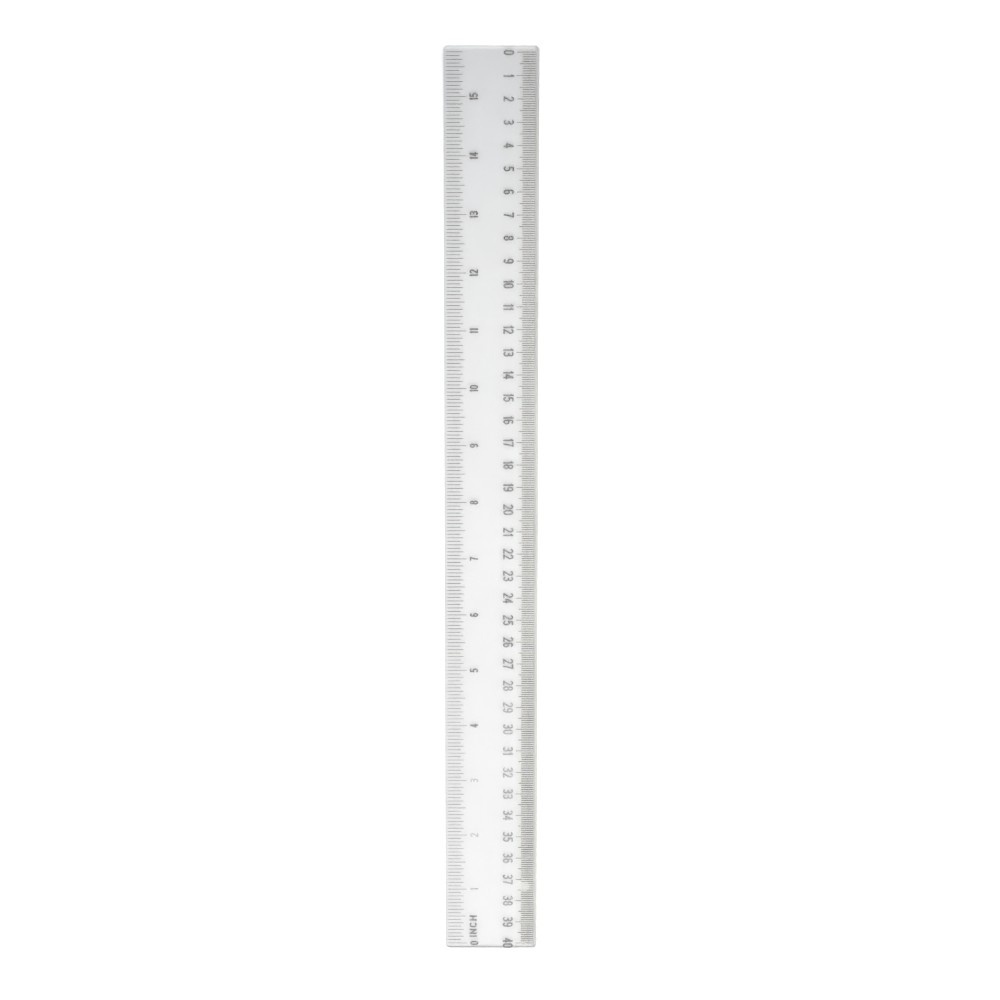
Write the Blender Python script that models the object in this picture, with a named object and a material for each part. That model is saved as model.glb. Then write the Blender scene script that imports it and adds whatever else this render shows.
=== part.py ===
"""A clear 40 cm plastic ruler with a centimetre scale along one edge and an inch scale along the other.

Frame: metres, +Z up out of the printed face, origin under the middle of the blade on the surface it
lies on. +Y runs along the blade towards centimetre zero, and +X points to the centimetre edge.
The blade is one moulding. Each long graduation line is its own thin deposit of ink on top of it.
"""

import math

import bmesh
import bpy

MM = 0.001

# Scales: how many long lines after zero, how far apart, which way they run along Y, and their ends in X
CM_SCALE = {
    "prefix": "cm",
    "count": 40,
    "pitch": 10 * MM,
    "direction": -1,
    "inner_x": 10.7 * MM,
    "outer_x": 18.4 * MM,
}
INCH_SCALE = {
    "prefix": "inch",
    "count": 15,
    "pitch": 25.4 * MM,
    "direction": 1,
    "inner_x": -10.6 * MM,
    "outer_x": -18.9 * MM,
}

# Blade
BLADE_WIDTH = 40 * MM
BLADE_THICKNESS = 2.5 * MM
END_MARGIN = 2.5 * MM
BLADE_LENGTH = CM_SCALE["count"] * CM_SCALE["pitch"] + 2 * END_MARGIN
CORNER_RADIUS = 1.8 * MM
CORNER_STEPS = 10
RIM_RUN = 0.9 * MM
RIM_DROP = 0.6 * MM
RIM_STEPS = 7
FOOT_BREAK = 0.2 * MM

# Ink
INK_THICKNESS = 0.05 * MM
INK_CLEARANCE = 0.02 * MM
LINE_WIDTH = 0.22 * MM

CLEAR_PLASTIC = {"colour": (0.90, 0.92, 0.93), "roughness": 0.06, "transmission": 1.0, "ior": 1.49}
PRINTED_INK = {"colour": (0.045, 0.047, 0.052), "roughness": 0.55, "transmission": 0.0, "ior": 1.5}


def clear_scene():
    for obj in list(bpy.data.objects):
        bpy.data.objects.remove(obj)


def make_material(name, finish):
    material = bpy.data.materials.new(name)
    material.use_nodes = True
    shader = material.node_tree.nodes["Principled BSDF"]
    shader.inputs["Base Color"].default_value = (*finish["colour"], 1.0)
    shader.inputs["Roughness"].default_value = finish["roughness"]
    shader.inputs["Metallic"].default_value = 0.0
    shader.inputs["Transmission Weight"].default_value = finish["transmission"]
    shader.inputs["IOR"].default_value = finish["ior"]
    material.diffuse_color = (*finish["colour"], 1.0)
    return material


def make_object(name, mesh, material, parent, location):
    mesh.materials.append(material)
    obj = bpy.data.objects.new(name, mesh)
    bpy.context.scene.collection.objects.link(obj)
    obj.parent = parent
    obj.location = location
    return obj


def rounded_outline(inset):
    """The blade's outline in plan, moved inwards by inset, as (x, y) points counter-clockwise."""
    radius = CORNER_RADIUS - inset
    reach_x = BLADE_WIDTH / 2 - CORNER_RADIUS
    reach_y = BLADE_LENGTH / 2 - CORNER_RADIUS
    points = []
    for quarter, (side_x, side_y) in enumerate([(1, 1), (-1, 1), (-1, -1), (1, -1)]):
        for step in range(CORNER_STEPS + 1):
            angle = math.pi / 2 * (quarter + step / CORNER_STEPS)
            x = side_x * reach_x + radius * math.cos(angle)
            y = side_y * reach_y + radius * math.sin(angle)
            points.append((x, y))
    return points


def edge_profile():
    """(inset, height) pairs up the side of the blade: foot, broken lower edge, wall, rounded rim."""
    profile = [(FOOT_BREAK, 0.0), (0.0, FOOT_BREAK)]
    for step in range(RIM_STEPS + 1):
        angle = math.pi / 2 * step / RIM_STEPS
        inset = RIM_RUN * (1 - math.cos(angle))
        height = BLADE_THICKNESS - RIM_DROP * (1 - math.sin(angle))
        profile.append((inset, height))
    return profile


def blade_mesh():
    shape = bmesh.new()
    rings = []
    for inset, height in edge_profile():
        rings.append([shape.verts.new((x, y, height)) for x, y in rounded_outline(inset)])
    for lower, upper in zip(rings, rings[1:]):
        for index in range(len(lower)):
            after = (index + 1) % len(lower)
            shape.faces.new((lower[index], lower[after], upper[after], upper[index]))
    shape.faces.new(list(reversed(rings[0])))
    shape.faces.new(rings[-1])
    mesh = bpy.data.meshes.new("ruler_blade")
    shape.to_mesh(mesh)
    shape.free()
    mesh.shade_smooth()
    mesh.set_sharp_from_angle(angle=math.radians(30))
    return mesh


def line_mesh(name, length):
    """One ink line along X, centred on its own origin, standing on z = 0."""
    shape = bmesh.new()
    bmesh.ops.create_cube(shape, size=1.0)
    bmesh.ops.scale(shape, vec=(length, LINE_WIDTH, INK_THICKNESS), verts=shape.verts)
    bmesh.ops.translate(shape, vec=(0.0, 0.0, INK_THICKNESS / 2), verts=shape.verts)
    mesh = bpy.data.meshes.new(name)
    shape.to_mesh(mesh)
    shape.free()
    return mesh


def build_blade(parent):
    material = make_material("clear_plastic", CLEAR_PLASTIC)
    return make_object("ruler_blade", blade_mesh(), material, parent, (0.0, 0.0, 0.0))


def build_scale(parent, ink, scale, first_y):
    """The long lines of one scale, from its zero onwards along its direction."""
    length = abs(scale["outer_x"] - scale["inner_x"])
    middle_x = (scale["inner_x"] + scale["outer_x"]) / 2
    height = BLADE_THICKNESS + INK_CLEARANCE
    for number in range(scale["count"] + 1):
        name = f"{scale['prefix']}_line_{number:02d}"
        place = (middle_x, first_y + scale["direction"] * number * scale["pitch"], height)
        make_object(name, line_mesh(name, length), ink, parent, place)


def build_ruler():
    ruler = bpy.data.objects.new("ruler", None)
    bpy.context.scene.collection.objects.link(ruler)
    ink = make_material("printed_ink", PRINTED_INK)
    cm_zero_y = BLADE_LENGTH / 2 - END_MARGIN
    inch_zero_y = cm_zero_y - CM_SCALE["count"] * CM_SCALE["pitch"]
    build_blade(ruler)
    build_scale(ruler, ink, CM_SCALE, cm_zero_y)
    build_scale(ruler, ink, INCH_SCALE, inch_zero_y)


clear_scene()
build_ruler()
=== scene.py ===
"""Looks of a clear 40 cm plastic ruler: clear blade, printed scales, camera, floor and studio light.

Metres throughout. +Y runs towards centimetre zero, +X to the centimetre edge, +Z out of the printed face.
"""

import math
import random

import bmesh
import bpy
from mathutils import Matrix, Vector
from mathutils.geometry import delaunay_2d_cdt


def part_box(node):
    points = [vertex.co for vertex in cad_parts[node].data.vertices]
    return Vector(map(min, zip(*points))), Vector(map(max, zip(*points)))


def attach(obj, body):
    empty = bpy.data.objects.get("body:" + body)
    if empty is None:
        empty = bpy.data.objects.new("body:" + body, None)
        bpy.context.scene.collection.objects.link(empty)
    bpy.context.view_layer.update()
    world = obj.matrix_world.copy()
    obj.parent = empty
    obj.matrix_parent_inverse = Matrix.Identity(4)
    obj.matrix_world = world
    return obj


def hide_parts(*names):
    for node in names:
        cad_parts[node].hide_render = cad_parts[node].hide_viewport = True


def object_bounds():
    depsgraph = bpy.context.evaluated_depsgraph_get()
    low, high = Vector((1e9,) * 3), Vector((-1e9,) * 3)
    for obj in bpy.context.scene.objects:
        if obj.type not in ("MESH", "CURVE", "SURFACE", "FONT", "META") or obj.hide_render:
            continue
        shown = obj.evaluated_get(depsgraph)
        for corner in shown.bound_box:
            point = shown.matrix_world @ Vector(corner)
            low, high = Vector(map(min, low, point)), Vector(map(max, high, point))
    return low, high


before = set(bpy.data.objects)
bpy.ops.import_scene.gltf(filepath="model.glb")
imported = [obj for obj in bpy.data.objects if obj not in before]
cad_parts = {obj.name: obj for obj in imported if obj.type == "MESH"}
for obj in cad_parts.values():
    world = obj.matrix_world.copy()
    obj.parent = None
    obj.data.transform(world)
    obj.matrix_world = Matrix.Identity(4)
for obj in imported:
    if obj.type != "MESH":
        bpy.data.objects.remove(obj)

cad_low, cad_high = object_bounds()

MM = 0.001
BODY = "root"
BLADE_NODE = "ruler_blade"
blade_low, blade_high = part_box(BLADE_NODE)

# Blade: its size is read from the CAD node, and these round it off. SUPPORT is how far beside each curve a
# ring of points lies that keeps the shading of the flat faces flat.
CORNER_RADIUS = 1.8 * MM
CORNER_STEPS = 20
RIM_RUN = 0.9 * MM
RIM_DROP = 0.6 * MM
RIM_STEPS = 14
FOOT_RADIUS = 0.2 * MM
FOOT_STEPS = 5
SUPPORT = 0.08 * MM

# Scales: how many long lines follow the zero, how many parts the space between two of them is divided into,
# and how many such parts follow the last long line
CM_SCALE = {"prefix": "cm", "count": 40, "parts": 10, "parts_beyond": 0}
INCH_SCALE = {"prefix": "inch", "count": 15, "parts": 16, "parts_beyond": 12}

# Short lines: after which parts of a centimetre or an inch they stand. The long lines are CAD nodes, and
# everything printed is set out from those.
CM_LINES = [
    {"name": "millimetre_lines", "parts": (1, 2, 3, 4, 6, 7, 8, 9), "length": 5.35 * MM, "seed": 1},
    {"name": "half_centimetre_lines", "parts": (5,), "length": 6.6 * MM, "seed": 2},
]
INCH_LINES = [
    {"name": "sixteenth_inch_lines", "parts": (1, 3, 5, 7, 9, 11, 13, 15), "length": 5.7 * MM, "seed": 3},
    {"name": "eighth_inch_lines", "parts": (2, 4, 6, 10, 12, 14), "length": 6.9 * MM, "seed": 4},
    {"name": "half_inch_lines", "parts": (8,), "length": 7.7 * MM, "seed": 5},
]
LINE_WIDTH = 0.225 * MM
LENGTH_JITTER = 0.06 * MM

# Shares of a line's width: its cut corners, how much it varies, and how much wider it gets between two
# centimetres and stays beyond them
LINE_BEVEL = 0.25
WIDTH_JITTER = 0.08
HEAVY_PRINT = {"from": 26.0, "to": 30.0, "wider": 0.16}

# Lettering, in millimetres: condensed figures drawn with strokes of one weight, turned by one right angle
TOPS_TO_PLUS_X = -1
TOPS_TO_MINUS_X = 1
CM_FIGURES = {
    "x": 7.3,
    "height": 4.4,
    "width": 2.2,
    "gap": 0.35,
    "weight": 0.66,
    "turn": TOPS_TO_PLUS_X,
    "zero_shift": -0.2,
}
INCH_FIGURES = {
    "x": -7.4,
    "height": 3.6,
    "width": 1.8,
    "gap": 0.34,
    "weight": 0.63,
    "turn": TOPS_TO_MINUS_X,
    "zero_shift": 0.0,
}
LEGEND_LETTERS = {
    "x": -7.9,
    "height": 3.2,
    "width": 2.4,
    "gap": 0.75,
    "weight": 0.62,
    "turn": TOPS_TO_MINUS_X,
}
LEGEND_TEXT = "INCH"
LEGEND_START = 2.9 * MM

# The share of the usual width that narrow characters have, and the degrees between two points of a bow
NARROW = {"1": 0.55, "I": 0.20}
ARC_STEP = 15.0

# Joining strokes: which triangles come back, and how near two points count as one
TRIANGLES_INSIDE = 1
SAME_POINT = 1e-5

# Wear of the print: each patch's middle and half size in millimetres, and how much ink is gone there. That
# much is gone within WORN_CORE of the patch's size, and WORN_PATCHY makes it uneven.
WORN_LINES = [
    {"middle": (14.2, -173.3), "half": (3.6, 2.6), "gone": 0.90},
    {"middle": (-15.0, -130.0), "half": (9.0, 90.0), "gone": 0.22},
]
WORN_FIGURES = [
    {"middle": (-7.5, -140.0), "half": (8.0, 50.0), "gone": 0.56},
    {"middle": (-7.5, -10.0), "half": (8.0, 110.0), "gone": 0.09},
    {"middle": (7.0, -132.0), "half": (8.0, 76.0), "gone": 0.35},
    {"middle": (7.0, 15.0), "half": (8.0, 120.0), "gone": 0.14},
    {"middle": (7.0, 190.0), "half": (8.0, 42.0), "gone": 0.09},
    {"middle": (0.0, -200.0), "half": (16.0, 22.0), "gone": 0.15},
]
WORN_CORE = 0.6
WORN_PATCHY = {"scale": 130.0, "shift": (0.4, 0.1, 0.0), "levels": (0.25, 0.65), "range": (0.85, 1.15)}

# Ink: how much of it covers, its colour and its finish. "levels" are noise values, turned into "range".
LINE_COVER = 1.0
FIGURE_COVER = 0.82
INK_COLOUR = (0.052, 0.048, 0.044)
MOTTLE = {"scale": 1400.0, "levels": (0.25, 0.60), "least_cover": 0.88}
MOTTLE_SHADE = {"levels": (0.30, 0.75), "range": (0.8, 1.7)}
PINHOLES = {"scale": 5200.0, "levels": (0.66, 0.74), "range": (0.0, 0.7)}
INK_ROUGHNESS = {"levels": (0.3, 0.7), "range": (0.42, 0.62)}
INK_BUMP = {"strength": 0.4, "distance": 0.02 * MM}

# Camera: lens and sensor in millimetres, and the distance from the point that it aims at in metres
SENSOR_WIDTH = 36.0
CAMERA_REACH = (0.05, 50.0)
CAMERA_DISTANCE = 2.2
CAMERA_TILT = math.radians(17.53)
CAMERA_LENS = 184.85
CAMERA_ROLL = math.radians(0.05)
CAMERA_AIM = (0.00374, 0.00354, 0.0)

# Floor: painted shade for light falling off, darker by the amount below at the ruler's +Y end, and
# FLOOR_FADE of that is left at the -Y end.
FLOOR_SIZE = 14.0
FLOOR_GAP = 0.15 * MM
FLOOR_COLOUR = (0.93, 0.93, 0.925)
FLOOR_PAINTED_SHADE = (0.317, 0.310, 0.293)
FLOOR_FADE = 0.028
FLOOR_ROUGHNESS = 0.9

# Light: the studio's level, how much more of it comes from +X and from +Y, its share at the horizon and
# overhead, and a square lamp
STUDIO_LEVEL = 1.70
LEAN_RIGHT = 0.30
LEAN_NEAR = 0.5
HORIZON = 0.7
OVERHEAD = 1.25
KEY_ENERGY = 16.0
KEY_SIZE = 2.2
KEY_PLACE = (-0.2, 1.2, 2.6)

# Clear plastic: "levels" are the noise values or the places where a mark begins and where it is complete.
PLASTIC_TINT = 0.70
PLASTIC_HUE = (0.997, 0.998, 1.0)
PLASTIC_IOR = 1.49
CLEAREST = 0.97
CLOUD = {"scale": 18.0, "depth": 0.03}
SMUDGE = {"scale": 55.0, "levels": (0.45, 0.75), "roughness": 0.035}
GRAIN = {"scale": 1500.0, "roughness": 0.012}
WAVE = {"scale": 22.0, "depth": 4.0}
SURFACE_BUMP = {"strength": 0.25, "distance": 0.008 * MM}

# Its two finishes. The colour is multiplied by "along" at the -Y and the +Y end, and by "across" at the two
# ACROSS_LEVELS of X; on the satin walls that is painted shade and light, darker towards -Y and the inch
# side.
# A wall is where the upward part of the surface's normal is below WALL_LEVELS.
CLEAR = {"clearness": 1.0, "roughness": 0.012, "along": (1.0, 1.0), "across": (1.0, 1.0)}
SATIN = {"clearness": 0.55, "roughness": 0.312, "along": (0.62, 1.25), "across": (0.88, 1.15)}
ACROSS_LEVELS = (-3.0 * MM, 9.0 * MM)
WALL_LEVELS = (0.5, 0.1)
DRAG = {"scale": 2500.0, "stretch": 0.15, "depth": 0.6}

# Hairline scratches on it
SCRATCH_SETS = [
    {"turn": 0.2, "areas_scale": 45.0, "seed": 3.1},
    {"turn": -1.2, "areas_scale": 30.0, "seed": 7.7},
]
HAIR_WIDTH = 0.09 * MM
HAIR_LENGTH = 9.0 * MM
HAIR_LEVELS = (0.70, 0.78)
HAIR_AREAS = (0.50, 0.62)
SCRATCH_SHADE = 0.05
SCRATCH_ROUGHNESS = 0.10

# Painted shade, by distance in from the centimetre edge, which also roughens it: one streak close to it for
# the rim's shading, and a fainter darker one beside that, which is only on the ruler's -Y third
SCUFF_PAINTED_SHADE = 0.20
SCUFF_ROUGHNESS = 0.12
EDGE_RUB_AND_SHADE = {"levels": (2.1 * MM, 1.5 * MM), "rim_levels": (0.8 * MM, 1.2 * MM), "left_on_rim": 0.2}
INNER_DARK_STREAK = {
    "near_levels": (1.6 * MM, 2.6 * MM),
    "far_levels": (4.8 * MM, 3.6 * MM),
    "along_levels": (-60.0 * MM, -95.0 * MM),
    "strength": 0.25,
}
RUB_AND_SHADE_PATCHES = {"scale": 16.0, "shift": (0.0, 0.31, 0.0), "levels": (0.30, 0.62), "range": (0.45, 1.0)}
RUB_AND_SHADE_STREAKS = {"width": 0.25 * MM, "length": 5.0 * MM, "levels": (0.25, 0.65), "range": (0.6, 1.0)}

# Painted light: colour paler at the rims, by distance in from the +X edge or the +Y end, and the handled,
# warmer strip by X
SIDE_RIM_LIGHT = {"from": 1.2 * MM, "to": 0.6 * MM, "gain": 1.08}
END_RIM_LIGHT = {"from": 1.7 * MM, "to": 1.1 * MM, "gain": 1.16}
HANDLED = {"levels": (10.8 * MM, 12.0 * MM), "takes": (0.0, 0.0005, 0.012)}


def look_at(obj, point):
    direction = Vector(point) - obj.location
    obj.rotation_mode = "QUATERNION"
    obj.rotation_quaternion = direction.to_track_quat("-Z", "Y")


def link(obj):
    bpy.context.scene.collection.objects.link(obj)
    return obj


class Graph:
    """Short ways to add and join shader nodes in one node tree."""

    def __init__(self, tree):
        self.nodes, self.links = tree.nodes, tree.links

    def put(self, value, socket):
        """Joins an output to a socket, or sets the socket to a plain value."""
        if isinstance(value, bpy.types.NodeSocket):
            self.links.new(value, socket)
        else:
            socket.default_value = value

    def math(self, operation, first, second=0.0):
        node = self.nodes.new("ShaderNodeMath")
        node.operation = operation
        self.put(first, node.inputs[0])
        self.put(second, node.inputs[1])
        return node.outputs[0]

    def plus(self, first, second):
        return self.math("ADD", first, second)

    def less(self, first, second):
        return self.math("SUBTRACT", first, second)

    def times(self, first, second):
        return self.math("MULTIPLY", first, second)

    def largest(self, values):
        most, *others = values
        for value in others:
            most = self.math("MAXIMUM", most, value)
        return most

    def span(self, value, low, high, to_low=0.0, to_high=1.0, smooth=True):
        """Maps low..high onto to_low..to_high, and holds the ends."""
        node = self.nodes.new("ShaderNodeMapRange")
        node.interpolation_type = "SMOOTHSTEP" if smooth else "LINEAR"
        self.put(value, node.inputs["Value"])
        node.inputs["From Min"].default_value = low
        node.inputs["From Max"].default_value = high
        node.inputs["To Min"].default_value = to_low
        node.inputs["To Max"].default_value = to_high
        return node.outputs["Result"]

    def mapped(self, coordinates, scale=(1.0, 1.0, 1.0), turn=0.0, shift=(0.0, 0.0, 0.0)):
        node = self.nodes.new("ShaderNodeMapping")
        node.vector_type = "POINT"
        self.put(coordinates, node.inputs["Vector"])
        node.inputs["Location"].default_value = shift
        node.inputs["Rotation"].default_value = (0.0, 0.0, turn)
        node.inputs["Scale"].default_value = scale
        return node.outputs["Vector"]

    def noise(self, coordinates, scale, detail=2.0, roughness=0.5):
        node = self.nodes.new("ShaderNodeTexNoise")
        self.put(coordinates, node.inputs["Vector"])
        node.inputs["Scale"].default_value = scale
        node.inputs["Detail"].default_value = detail
        node.inputs["Roughness"].default_value = roughness
        return node.outputs["Fac"]

    def place(self):
        """Where a point is on the ruler, in metres."""
        return self.nodes.new("ShaderNodeTexCoord").outputs["Object"]

    def split(self, vector):
        node = self.nodes.new("ShaderNodeSeparateXYZ")
        self.put(vector, node.inputs[0])
        return node.outputs

    def scaled(self, colour, factor):
        node = self.nodes.new("ShaderNodeVectorMath")
        node.operation = "SCALE"
        node.inputs[0].default_value = colour
        self.put(factor, node.inputs["Scale"])
        return node.outputs[0]

    def colour_less(self, first, second):
        """One colour less another."""
        node = self.nodes.new("ShaderNodeVectorMath")
        node.operation = "SUBTRACT"
        self.put(first, node.inputs[0])
        self.put(second, node.inputs[1])
        return node.outputs[0]

    def bump(self, height, strength, distance):
        node = self.nodes.new("ShaderNodeBump")
        node.inputs["Strength"].default_value = strength
        node.inputs["Distance"].default_value = distance
        self.put(height, node.inputs["Height"])
        return node.outputs["Normal"]


def new_material(name):
    material = bpy.data.materials.new(name)
    material.use_nodes = True
    graph = Graph(material.node_tree)
    return material, graph, graph.nodes["Principled BSDF"]


# --- camera, floor and light ---


def make_camera():
    """A long lens over the ruler, leaning to +Y, which is up in the picture, with a trace of roll."""
    data = bpy.data.cameras.new("camera")
    data.lens = CAMERA_LENS
    data.sensor_width = SENSOR_WIDTH
    data.dof.use_dof = False
    data.clip_start, data.clip_end = CAMERA_REACH
    camera = link(bpy.data.objects.new("camera", data))
    back = Vector((0.0, math.sin(CAMERA_TILT), math.cos(CAMERA_TILT)))
    camera.location = Vector(CAMERA_AIM) + CAMERA_DISTANCE * back
    up = Vector((0.0, math.cos(CAMERA_TILT), -math.sin(CAMERA_TILT)))
    right = up.cross(back)
    level = Matrix((right, up, back)).transposed()
    camera.rotation_mode = "QUATERNION"
    camera.rotation_quaternion = (Matrix.Rotation(CAMERA_ROLL, 3, back) @ level).to_quaternion()
    bpy.context.scene.camera = camera


def make_floor():
    """A pale sheet, painted a little darker and cooler by the ruler's +Y end as shade for light falling
    off.
    """
    shape = bmesh.new()
    bmesh.ops.create_grid(shape, x_segments=1, y_segments=1, size=FLOOR_SIZE / 2)
    mesh = bpy.data.meshes.new("floor")
    shape.to_mesh(mesh)
    shape.free()
    floor = link(bpy.data.objects.new("floor", mesh))
    floor.location.z = cad_low.z - FLOOR_GAP
    material, graph, shader = new_material("floor")
    y = graph.split(graph.place())[1]
    along = graph.span(y, cad_high.y, cad_low.y, smooth=False)
    # Painted shade: the floor's colour darkens towards the ruler's +Y end.
    painted_falloff = graph.scaled(FLOOR_PAINTED_SHADE, graph.math("POWER", FLOOR_FADE, along))
    graph.put(graph.colour_less(FLOOR_COLOUR, painted_falloff), shader.inputs["Base Color"])
    shader.inputs["Roughness"].default_value = FLOOR_ROUGHNESS
    shader.inputs["Specular IOR Level"].default_value = 0.0
    mesh.materials.append(material)


def make_world():
    """A pale studio all round, brighter on the camera's side and to the right."""
    world = bpy.data.worlds.new("studio")
    bpy.context.scene.world = world
    world.use_nodes = True
    graph = Graph(world.node_tree)
    x, y, z = graph.split(graph.nodes.new("ShaderNodeTexCoord").outputs["Generated"])
    lean = graph.plus(graph.times(x, LEAN_RIGHT), graph.times(y, LEAN_NEAR))
    dome = graph.times(graph.span(z, 0.0, 1.0, HORIZON, OVERHEAD), STUDIO_LEVEL)
    graph.put(graph.times(graph.plus(lean, 1.0), dome), graph.nodes["Background"].inputs["Strength"])
    graph.nodes["Background"].inputs["Color"].default_value = (1.0, 1.0, 1.0, 1.0)


def make_key_light():
    data = bpy.data.lights.new("key", "AREA")
    data.shape = "SQUARE"
    data.size = KEY_SIZE
    data.energy = KEY_ENERGY
    key = link(bpy.data.objects.new("key", data))
    key.location = KEY_PLACE
    look_at(key, (0.0, 0.0, 0.0))
    key.visible_camera = False


def set_picture():
    """Plain display colours, and no blurring of the light that comes through the clear plastic."""
    scene = bpy.context.scene
    scene.view_settings.view_transform = "Standard"
    scene.view_settings.look = "None"
    scene.view_settings.exposure = 0.0
    scene.view_settings.gamma = 1.0
    scene.cycles.blur_glossy = 0.0


# --- materials ---


def scratches(graph, place, turn, areas_scale, seed):
    """Sparse hairlines, all lying near one direction, in some areas only."""
    thin = (1 / HAIR_WIDTH, 1 / HAIR_LENGTH, 0.0)
    stretched = graph.mapped(place, scale=thin, turn=turn, shift=(seed, seed, 0.0))
    hair = graph.span(graph.noise(stretched, 1.0, detail=1.0), *HAIR_LEVELS)
    areas = graph.noise(graph.mapped(place, shift=(seed, 0.0, 0.0)), areas_scale)
    return graph.times(hair, graph.span(areas, *HAIR_AREAS))


def scuffs(graph, place):
    """Painted shade along the centimetre edge, for its rim's shading, whose mask also roughens it: patchy,
    with fine streaks.
    """
    x, y, _ = graph.split(place)
    inwards = graph.less(blade_high.x, x)
    off_rim = graph.span(inwards, *EDGE_RUB_AND_SHADE["rim_levels"], EDGE_RUB_AND_SHADE["left_on_rim"], 1.0)
    edge = graph.times(graph.span(inwards, *EDGE_RUB_AND_SHADE["levels"]), off_rim)

    near_side = graph.span(inwards, *INNER_DARK_STREAK["near_levels"])
    far_side = graph.span(inwards, *INNER_DARK_STREAK["far_levels"])
    along = graph.span(y, *INNER_DARK_STREAK["along_levels"], 0.0, INNER_DARK_STREAK["strength"])
    inner = graph.times(graph.times(near_side, far_side), along)

    lengthwise = graph.mapped(place, scale=(0.0, 1.0, 0.0), shift=RUB_AND_SHADE_PATCHES["shift"])
    patches = graph.noise(lengthwise, RUB_AND_SHADE_PATCHES["scale"])
    thin = (1 / RUB_AND_SHADE_STREAKS["width"], 1 / RUB_AND_SHADE_STREAKS["length"], 0.0)
    streaks = graph.noise(graph.mapped(place, scale=thin), 1.0)
    patchy = graph.span(patches, *RUB_AND_SHADE_PATCHES["levels"], *RUB_AND_SHADE_PATCHES["range"])
    streaky = graph.span(streaks, *RUB_AND_SHADE_STREAKS["levels"], *RUB_AND_SHADE_STREAKS["range"])
    return graph.times(graph.largest([edge, inner]), graph.times(patchy, streaky))


def rim_gain(graph, position, edge, rim):
    """How much paler the plastic's colour is painted towards one of its edges, as painted light."""
    return graph.span(position, edge - rim["from"], edge - rim["to"], 1.0, rim["gain"])


def plastic_colour(graph, place, finish, marks, rub_and_shade_mask):
    """The plastic's colour, which dims and tints the light that goes through it, with painted shade and
    light in it.
    """
    x, y, _ = graph.split(place)
    cloud = graph.times(graph.noise(place, CLOUD["scale"], detail=3.0), CLOUD["depth"])
    tint = graph.plus(cloud, PLASTIC_TINT - CLOUD["depth"] / 2)
    tint = graph.less(tint, graph.times(marks, SCRATCH_SHADE))
    # Painted shade: the mask along the centimetre edge darkens the colour.
    tint = graph.times(tint, graph.less(1.0, graph.times(rub_and_shade_mask, SCUFF_PAINTED_SHADE)))
    # Painted shade and light: on the satin walls the colour is darker towards the -Y end and the inch side,
    # paler towards +Y and the centimetre side.
    tint = graph.times(tint, graph.span(y, cad_low.y, cad_high.y, *finish["along"], smooth=False))
    tint = graph.times(tint, graph.span(x, *ACROSS_LEVELS, *finish["across"]))
    # Painted light: the colour is made paler along the +X edge and the +Y end.
    rim_lights = [rim_gain(graph, x, cad_high.x, SIDE_RIM_LIGHT), rim_gain(graph, y, cad_high.y, END_RIM_LIGHT)]
    tint = graph.math("MINIMUM", graph.times(tint, graph.largest(rim_lights)), CLEAREST)
    warmer = graph.scaled(HANDLED["takes"], graph.span(x, *HANDLED["levels"]))
    return graph.colour_less(graph.scaled(PLASTIC_HUE, tint), warmer)


def plastic_roughness(graph, place, finish, marks, rub_and_shade_mask):
    """Smoothest where the plastic is clean, and rougher in smudges, scratches and rubbed places."""
    smudge = graph.span(graph.noise(place, SMUDGE["scale"], detail=4.0, roughness=0.6), *SMUDGE["levels"])
    grain = graph.noise(place, GRAIN["scale"])
    rough = graph.plus(graph.times(smudge, SMUDGE["roughness"]), graph.times(grain, GRAIN["roughness"]))
    rough = graph.plus(rough, graph.times(marks, SCRATCH_ROUGHNESS))
    rough = graph.plus(rough, graph.times(rub_and_shade_mask, SCUFF_ROUGHNESS))
    return graph.plus(rough, finish["roughness"])


def plastic_relief(graph, place, marks):
    """A trace of moulding waviness, scratches, and fine drag marks where a wall stands upright."""
    normal = graph.nodes.new("ShaderNodeNewGeometry").outputs["Normal"]
    wall = graph.span(graph.math("ABSOLUTE", graph.split(normal)[2]), *WALL_LEVELS)
    wave = graph.times(graph.noise(place, WAVE["scale"], detail=1.0), WAVE["depth"])
    fibres = graph.noise(graph.mapped(place, scale=(1.0, 1.0, DRAG["stretch"])), DRAG["scale"])
    drag = graph.times(fibres, graph.times(wall, DRAG["depth"]))
    height = graph.less(graph.plus(wave, drag), marks)
    return graph.bump(height, **SURFACE_BUMP)


def clear_plastic(name, finish):
    """Clear moulded plastic with faint smudges, hairline scratches and rubbing, polished or satin, and
    painted shade and light.
    """
    material, graph, shader = new_material(name)
    place = graph.place()
    marks = graph.largest([scratches(graph, place, **hairs) for hairs in SCRATCH_SETS])
    rub_and_shade_mask = scuffs(graph, place)
    graph.put(plastic_colour(graph, place, finish, marks, rub_and_shade_mask), shader.inputs["Base Color"])
    graph.put(plastic_roughness(graph, place, finish, marks, rub_and_shade_mask), shader.inputs["Roughness"])
    graph.put(plastic_relief(graph, place, marks), shader.inputs["Normal"])
    shader.inputs["Transmission Weight"].default_value = finish["clearness"]
    shader.inputs["IOR"].default_value = PLASTIC_IOR
    return material


def worn(graph, place, patches):
    """How much ink wear takes away: most in the core of each patch, and nothing past its edge."""
    x, y, _ = graph.split(place)
    taken = []
    for patch in patches:
        (middle_x, middle_y), (half_x, half_y) = patch["middle"], patch["half"]
        across = graph.math("DIVIDE", graph.less(x, middle_x * MM), half_x * MM)
        along = graph.math("DIVIDE", graph.less(y, middle_y * MM), half_y * MM)
        squares = graph.plus(graph.times(across, across), graph.times(along, along))
        taken.append(graph.span(graph.math("SQRT", squares), 1.0, WORN_CORE, 0.0, patch["gone"]))
    return graph.largest(taken)


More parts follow.
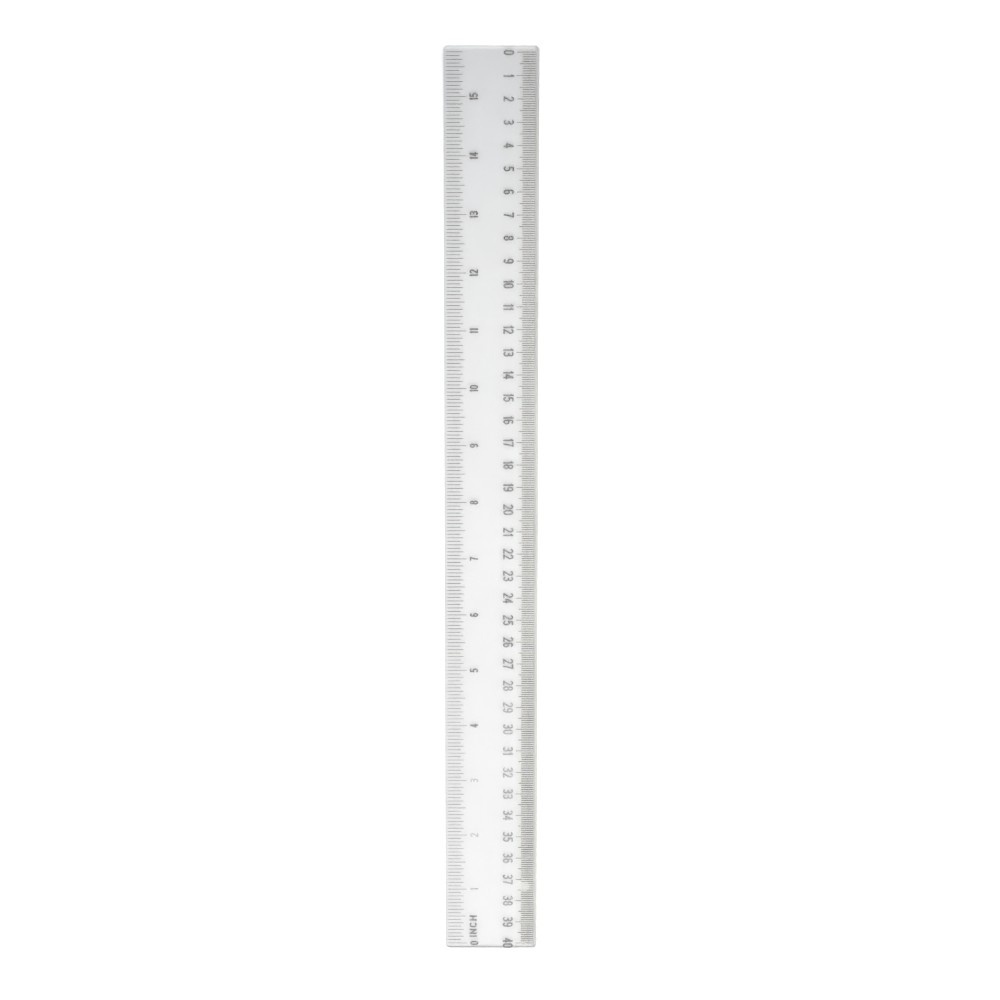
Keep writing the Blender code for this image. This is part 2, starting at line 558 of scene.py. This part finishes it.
def printed_ink(name, cover, patches):
    """Screen-printed ink: near black, mottled, with pinholes, and rubbed thin in places."""
    material, graph, shader = new_material(name)
    place = graph.place()
    mottle = graph.noise(place, MOTTLE["scale"], detail=3.0, roughness=0.6)
    patchy = graph.noise(graph.mapped(place, shift=WORN_PATCHY["shift"]), WORN_PATCHY["scale"])
    uneven = graph.span(patchy, *WORN_PATCHY["levels"], *WORN_PATCHY["range"])
    rubbed = graph.times(worn(graph, place, patches), uneven)
    specks = graph.noise(place, PINHOLES["scale"], detail=1.0)
    pinholes = graph.span(specks, *PINHOLES["levels"], *PINHOLES["range"])
    laid = graph.span(mottle, *MOTTLE["levels"], cover * MOTTLE["least_cover"], cover)
    film = graph.span(graph.less(laid, graph.largest([rubbed, pinholes])), 0.0, 1.0, smooth=False)
    # A look through the film crosses its top face and its underside, so each holds back a root's share.
    clear = graph.math("SQRT", graph.less(1.0, film))
    graph.put(graph.less(1.0, clear), shader.inputs["Alpha"])

    shade = graph.span(mottle, *MOTTLE_SHADE["levels"], *MOTTLE_SHADE["range"])
    graph.put(graph.scaled(INK_COLOUR, shade), shader.inputs["Base Color"])
    roughness = graph.span(patchy, *INK_ROUGHNESS["levels"], *INK_ROUGHNESS["range"])
    graph.put(roughness, shader.inputs["Roughness"])
    graph.put(graph.bump(mottle, **INK_BUMP), shader.inputs["Normal"])
    return material


# --- blade ---


def rounded_outline(inset):
    """The blade's outline in plan, moved inwards by inset, as (x, y) points counter-clockwise."""
    radius = CORNER_RADIUS - inset
    points = []
    for quarter, (side_x, side_y) in enumerate([(1, 1), (-1, 1), (-1, -1), (1, -1)]):
        for step in range(CORNER_STEPS + 1):
            angle = math.pi / 2 * (quarter + step / CORNER_STEPS)
            x = side_x * (blade_high.x - CORNER_RADIUS) + radius * math.cos(angle)
            y = side_y * (blade_high.y - CORNER_RADIUS) + radius * math.sin(angle)
            points.append((x, y))
    return points


def edge_profile():
    """(inset, height) pairs from the underside's border, up the wall and over the rim to the top face."""
    profile = [(FOOT_RADIUS + SUPPORT, blade_low.z)]
    for step in range(FOOT_STEPS + 1):
        angle = math.pi / 2 * step / FOOT_STEPS
        inset = FOOT_RADIUS * (1 - math.sin(angle))
        profile.append((inset, blade_low.z + FOOT_RADIUS * (1 - math.cos(angle))))
    profile.append((0.0, blade_low.z + FOOT_RADIUS + SUPPORT))
    profile.append((0.0, blade_high.z - RIM_DROP - SUPPORT))
    for step in range(RIM_STEPS + 1):
        angle = math.pi / 2 * step / RIM_STEPS
        inset = RIM_RUN * (1 - math.cos(angle))
        profile.append((inset, blade_high.z - RIM_DROP * (1 - math.sin(angle))))
    profile.append((RIM_RUN + SUPPORT, blade_high.z))
    return profile


def make_blade(material, wall_material):
    """The moulding, with finer curves than its CAD node, and the second material on its upright walls."""
    shape = bmesh.new()
    rings = []
    for inset, height in edge_profile():
        rings.append([shape.verts.new((x, y, height)) for x, y in rounded_outline(inset)])
    wall_top = blade_high.z - RIM_DROP
    for lower, upper in zip(rings, rings[1:]):
        for index in range(len(lower)):
            after = (index + 1) % len(lower)
            face = shape.faces.new((lower[index], lower[after], upper[after], upper[index]))
            face.material_index = 1 if upper[index].co.z < wall_top + SUPPORT else 0
    shape.faces.new(list(reversed(rings[0])))
    shape.faces.new(rings[-1])
    mesh = bpy.data.meshes.new("clear_blade")
    shape.to_mesh(mesh)
    shape.free()
    mesh.shade_smooth()
    mesh.materials.append(material)
    mesh.materials.append(wall_material)
    blade = link(bpy.data.objects.new("clear_blade", mesh))
    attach(blade, BODY)
    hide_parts(BLADE_NODE)


# --- printed lines ---


def line_y(node):
    """Where the middle of a CAD line lies along the ruler."""
    low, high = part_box(node)
    return (low.y + high.y) / 2


class Scale:
    """Where one scale's marks go, read from its CAD lines."""

    def __init__(self, prefix, count, parts, parts_beyond):
        self.count, self.parts = count, parts
        self.last_part = count * parts + parts_beyond
        first, last = f"{prefix}_line_00", f"{prefix}_line_{count:02d}"
        low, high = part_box(first)
        self.zero_y = line_y(first)
        self.pitch = (line_y(last) - self.zero_y) / count
        self.outer_x = max(low.x, high.x, key=abs)
        self.inwards = -1.0 if self.outer_x > 0 else 1.0
        self.bottom_z, self.top_z = low.z, high.z

    def y(self, value):
        return self.zero_y + value * self.pitch


def add_line(shape, scale, value, length, width):
    """One printed line from the scale's outer edge inwards, with its corners cut off."""
    y = scale.y(value)
    half = width / 2
    bevel = width * LINE_BEVEL
    ends = [scale.outer_x, scale.outer_x + scale.inwards * length]
    low_x, high_x = min(ends), max(ends)
    outline = [
        (low_x, y - half + bevel), (low_x + bevel, y - half),
        (high_x - bevel, y - half), (high_x, y - half + bevel),
        (high_x, y + half - bevel), (high_x - bevel, y + half),
        (low_x + bevel, y + half), (low_x, y + half - bevel),
    ]
    bottom = [shape.verts.new((px, py, scale.bottom_z)) for px, py in outline]
    top = [shape.verts.new((px, py, scale.top_z)) for px, py in outline]
    shape.faces.new(top)
    shape.faces.new(list(reversed(bottom)))
    for index in range(len(outline)):
        after = (index + 1) % len(outline)
        shape.faces.new((bottom[index], bottom[after], top[after], top[index]))


def finish_print(name, shape, material):
    mesh = bpy.data.meshes.new(name)
    shape.to_mesh(mesh)
    shape.free()
    mesh.materials.append(material)
    piece = link(bpy.data.objects.new(name, mesh))
    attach(piece, BODY)


def print_weight(scale, value):
    """How much wider a line is printed: it is more than 1 on the last third of the centimetre scale."""
    if scale.outer_x < 0:
        return 1.0
    reached = (value - HEAVY_PRINT["from"]) / (HEAVY_PRINT["to"] - HEAVY_PRINT["from"])
    return 1.0 + HEAVY_PRINT["wider"] * min(max(reached, 0.0), 1.0)


def make_lines(scale, kinds, material):
    """The short lines, each kind as one piece, with the small irregularities of a print."""
    for kind in kinds:
        chance = random.Random(kind["seed"])
        shape = bmesh.new()
        for part in range(scale.last_part + 1):
            if part % scale.parts in kind["parts"]:
                value = part / scale.parts
                uneven = 1 + chance.uniform(-WIDTH_JITTER, WIDTH_JITTER)
                length = kind["length"] + chance.uniform(-LENGTH_JITTER, LENGTH_JITTER)
                add_line(shape, scale, value, length, LINE_WIDTH * print_weight(scale, value) * uneven)
        finish_print(kind["name"], shape, material)


# --- lettering: strokes of one weight, whose centre lines are drawn in a unit square ---


def arc(centre_x, centre_y, radius_x, radius_y, start, end):
    """Points along part of an ellipse, between two angles in degrees from +X."""
    steps = max(2, round(abs(end - start) / ARC_STEP))
    points = []
    for step in range(steps + 1):
        angle = math.radians(start + (end - start) * step / steps)
        points.append((centre_x + radius_x * math.cos(angle), centre_y + radius_y * math.sin(angle)))
    return points


def turned(strokes):
    """The same strokes upside down, as a 9 is to a 6."""
    return [[(1 - x, 1 - y) for x, y in stroke] for stroke in strokes]


def ring(centre_y, radius_x, radius_y):
    right = arc(0.5, centre_y, radius_x, radius_y, -90, 90)
    left = arc(0.5, centre_y, radius_x, radius_y, 90, 270)
    return [right, left]


def figure_strokes():
    """Each character's strokes. A stroke of two points is a straight bar, and a longer one is a bow."""
    six = [
        arc(0.5, 0.72, 0.48, 0.28, 28, 180) + arc(0.5, 0.28, 0.5, 0.28, 180, 270),
        arc(0.5, 0.28, 0.5, 0.28, -90, 90) + arc(0.5, 0.28, 0.5, 0.28, 105, 165),
    ]
    return {
        "0": [
            arc(0.5, 0.27, 0.5, 0.27, -90, 0) + arc(0.5, 0.73, 0.5, 0.27, 0, 90),
            arc(0.5, 0.73, 0.5, 0.27, 90, 180) + arc(0.5, 0.27, 0.5, 0.27, 180, 270),
        ],
        "1": [[(1.0, 0.0), (1.0, 1.0)], [(1.0, 0.97), (0.5, 0.84), (0.0, 0.76)]],
        "2": [arc(0.5, 0.73, 0.5, 0.27, 170, -28) + [(0.04, 0.02)], [(0.0, 0.0), (1.0, 0.0)]],
        "3": [
            arc(0.46, 0.76, 0.5, 0.24, 155, -90),
            arc(0.46, 0.27, 0.54, 0.27, 90, -155),
            [(0.38, 0.53), (0.5, 0.53)],
        ],
        "4": [
            [(0.74, 0.0), (0.74, 1.0)],
            [(0.0, 0.27), (1.0, 0.27)],
            [(0.66, 1.0), (0.34, 0.64), (0.0, 0.27)],
        ],
        "5": [
            [(0.14, 1.0), (0.94, 1.0)],
            [(0.14, 1.0), (0.08, 0.56)],
            arc(0.44, 0.31, 0.56, 0.31, 135, -155),
        ],
        "6": six,
        "7": [[(0.0, 1.0), (1.0, 1.0)], [(0.98, 1.0), (0.62, 0.5), (0.38, -0.07)]],
        "8": ring(0.76, 0.44, 0.24) + ring(0.27, 0.5, 0.27),
        "9": turned(six),
        "I": [[(0.5, 0.0), (0.5, 1.0)]],
        "N": [
            [(0.0, 0.0), (0.0, 1.0)],
            [(1.0, 0.0), (1.0, 1.0)],
            [(0.0, 1.0), (0.5, 0.5), (1.0, 0.0)],
        ],
        "C": [arc(0.5, 0.68, 0.5, 0.32, 25, 180) + arc(0.5, 0.32, 0.5, 0.32, 180, 335)],
        "H": [[(0.0, 0.0), (0.0, 1.0)], [(1.0, 0.0), (1.0, 1.0)], [(0.0, 0.52), (1.0, 0.52)]],
    }


def band(points, weight):
    """The outline of a stroke, counter-clockwise. A bar is carried on by half its weight at both ends."""
    line = [Vector(point) for point in points]
    if len(line) == 2:
        overrun = (line[1] - line[0]).normalized() * weight / 2
        line = [line[0] - overrun, line[1] + overrun]
    left, right = [], []
    for index, point in enumerate(line):
        before = line[max(index - 1, 0)]
        after = line[min(index + 1, len(line) - 1)]
        along = (after - before).normalized()
        side = Vector((-along.y, along.x)) * weight / 2
        left.append(point + side)
        right.append(point - side)
    return right + left[::-1]


def cell_width(character, style):
    return max(style["width"] * NARROW.get(character, 1.0), style["weight"])


def glyph(character, style):
    """One character as triangles in the plane, in millimetres, from the lower left corner of its cell."""
    reach_x = cell_width(character, style) - style["weight"]
    reach_y = style["height"] - style["weight"]
    inset = style["weight"] / 2
    points, outlines = [], []
    for stroke in figure_strokes()[character]:
        placed = [(inset + x * reach_x, inset + y * reach_y) for x, y in stroke]
        outline = band(placed, style["weight"])
        outlines.append(list(range(len(points), len(points) + len(outline))))
        points.extend(outline)
    result = delaunay_2d_cdt(points, [], outlines, TRIANGLES_INSIDE, SAME_POINT)
    corners, _, triangles, _, _, sources = result
    inked = [triangle for triangle, source in zip(triangles, sources) if source]
    return corners, inked


def border_edges(triangles):
    """The edges that only one triangle has, in that triangle's direction."""
    edges = [(face[side], face[(side + 1) % 3]) for face in triangles for side in range(3)]
    present = set(edges)
    return [(a, b) for a, b in edges if (b, a) not in present]


def add_glyph(shape, character, style, scale, place):
    """Raises one character into a thin slab of ink, where place puts it on the blade."""
    corners, triangles = glyph(character, style)
    used = sorted({index for triangle in triangles for index in triangle})
    bottom, top = {}, {}
    for index in used:
        x, y = corners[index]
        spot = place @ Vector((x * MM, y * MM, 0.0))
        bottom[index] = shape.verts.new((spot.x, spot.y, scale.bottom_z))
        top[index] = shape.verts.new((spot.x, spot.y, scale.top_z))
    for a, b, c in triangles:
        shape.faces.new((top[a], top[b], top[c]))
        shape.faces.new((bottom[c], bottom[b], bottom[a]))
    for a, b in border_edges(triangles):
        shape.faces.new((bottom[a], bottom[b], top[b], top[a]))


def text_length(text, style):
    return sum(cell_width(character, style) for character in text) + style["gap"] * (len(text) - 1)


def add_text(shape, text, style, scale, middle_y):
    """A line of characters centred at middle_y, reading along the ruler."""
    along = Matrix.Rotation(style["turn"] * math.pi / 2, 4, "Z")
    middle = Matrix.Translation((style["x"] * MM, middle_y, 0.0)) @ along
    start = -text_length(text, style) / 2
    for character in text:
        corner = Matrix.Translation((start * MM, -style["height"] * MM / 2, 0.0))
        add_glyph(shape, character, style, scale, middle @ corner)
        start += cell_width(character, style) + style["gap"]


def make_numerals(name, scale, style, material):
    shape = bmesh.new()
    for number in range(scale.count + 1):
        shift = style["zero_shift"] * MM if number == 0 else 0.0
        add_text(shape, str(number), style, scale, scale.y(number) + shift)
    finish_print(name, shape, material)


def make_legend(scale, style, material):
    """The unit's name, starting a little after the scale's zero."""
    shape = bmesh.new()
    length = text_length(LEGEND_TEXT, style) * MM
    add_text(shape, LEGEND_TEXT, style, scale, scale.zero_y + LEGEND_START + length / 2)
    finish_print("inch_legend", shape, material)


# --- the ruler ---

make_camera()
make_floor()
make_world()
make_key_light()
set_picture()

plastic = clear_plastic("clear_plastic", CLEAR)
wall_plastic = clear_plastic("satin_wall", SATIN)
ink = printed_ink("printed_lines", LINE_COVER, WORN_LINES)
figure_ink = printed_ink("printed_figures", FIGURE_COVER, WORN_FIGURES)
for name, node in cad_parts.items():
    of_blade = name == BLADE_NODE
    node.data.materials.clear()
    node.data.materials.append(plastic if of_blade else ink)
make_blade(plastic, wall_plastic)

cm_scale = Scale(**CM_SCALE)
inch_scale = Scale(**INCH_SCALE)
make_lines(cm_scale, CM_LINES, ink)
make_lines(inch_scale, INCH_LINES, ink)
make_numerals("centimetre_numerals", cm_scale, CM_FIGURES, figure_ink)
make_numerals("inch_numerals", inch_scale, INCH_FIGURES, figure_ink)
make_legend(inch_scale, LEGEND_LETTERS, figure_ink)

bpy.context.view_layer.update()
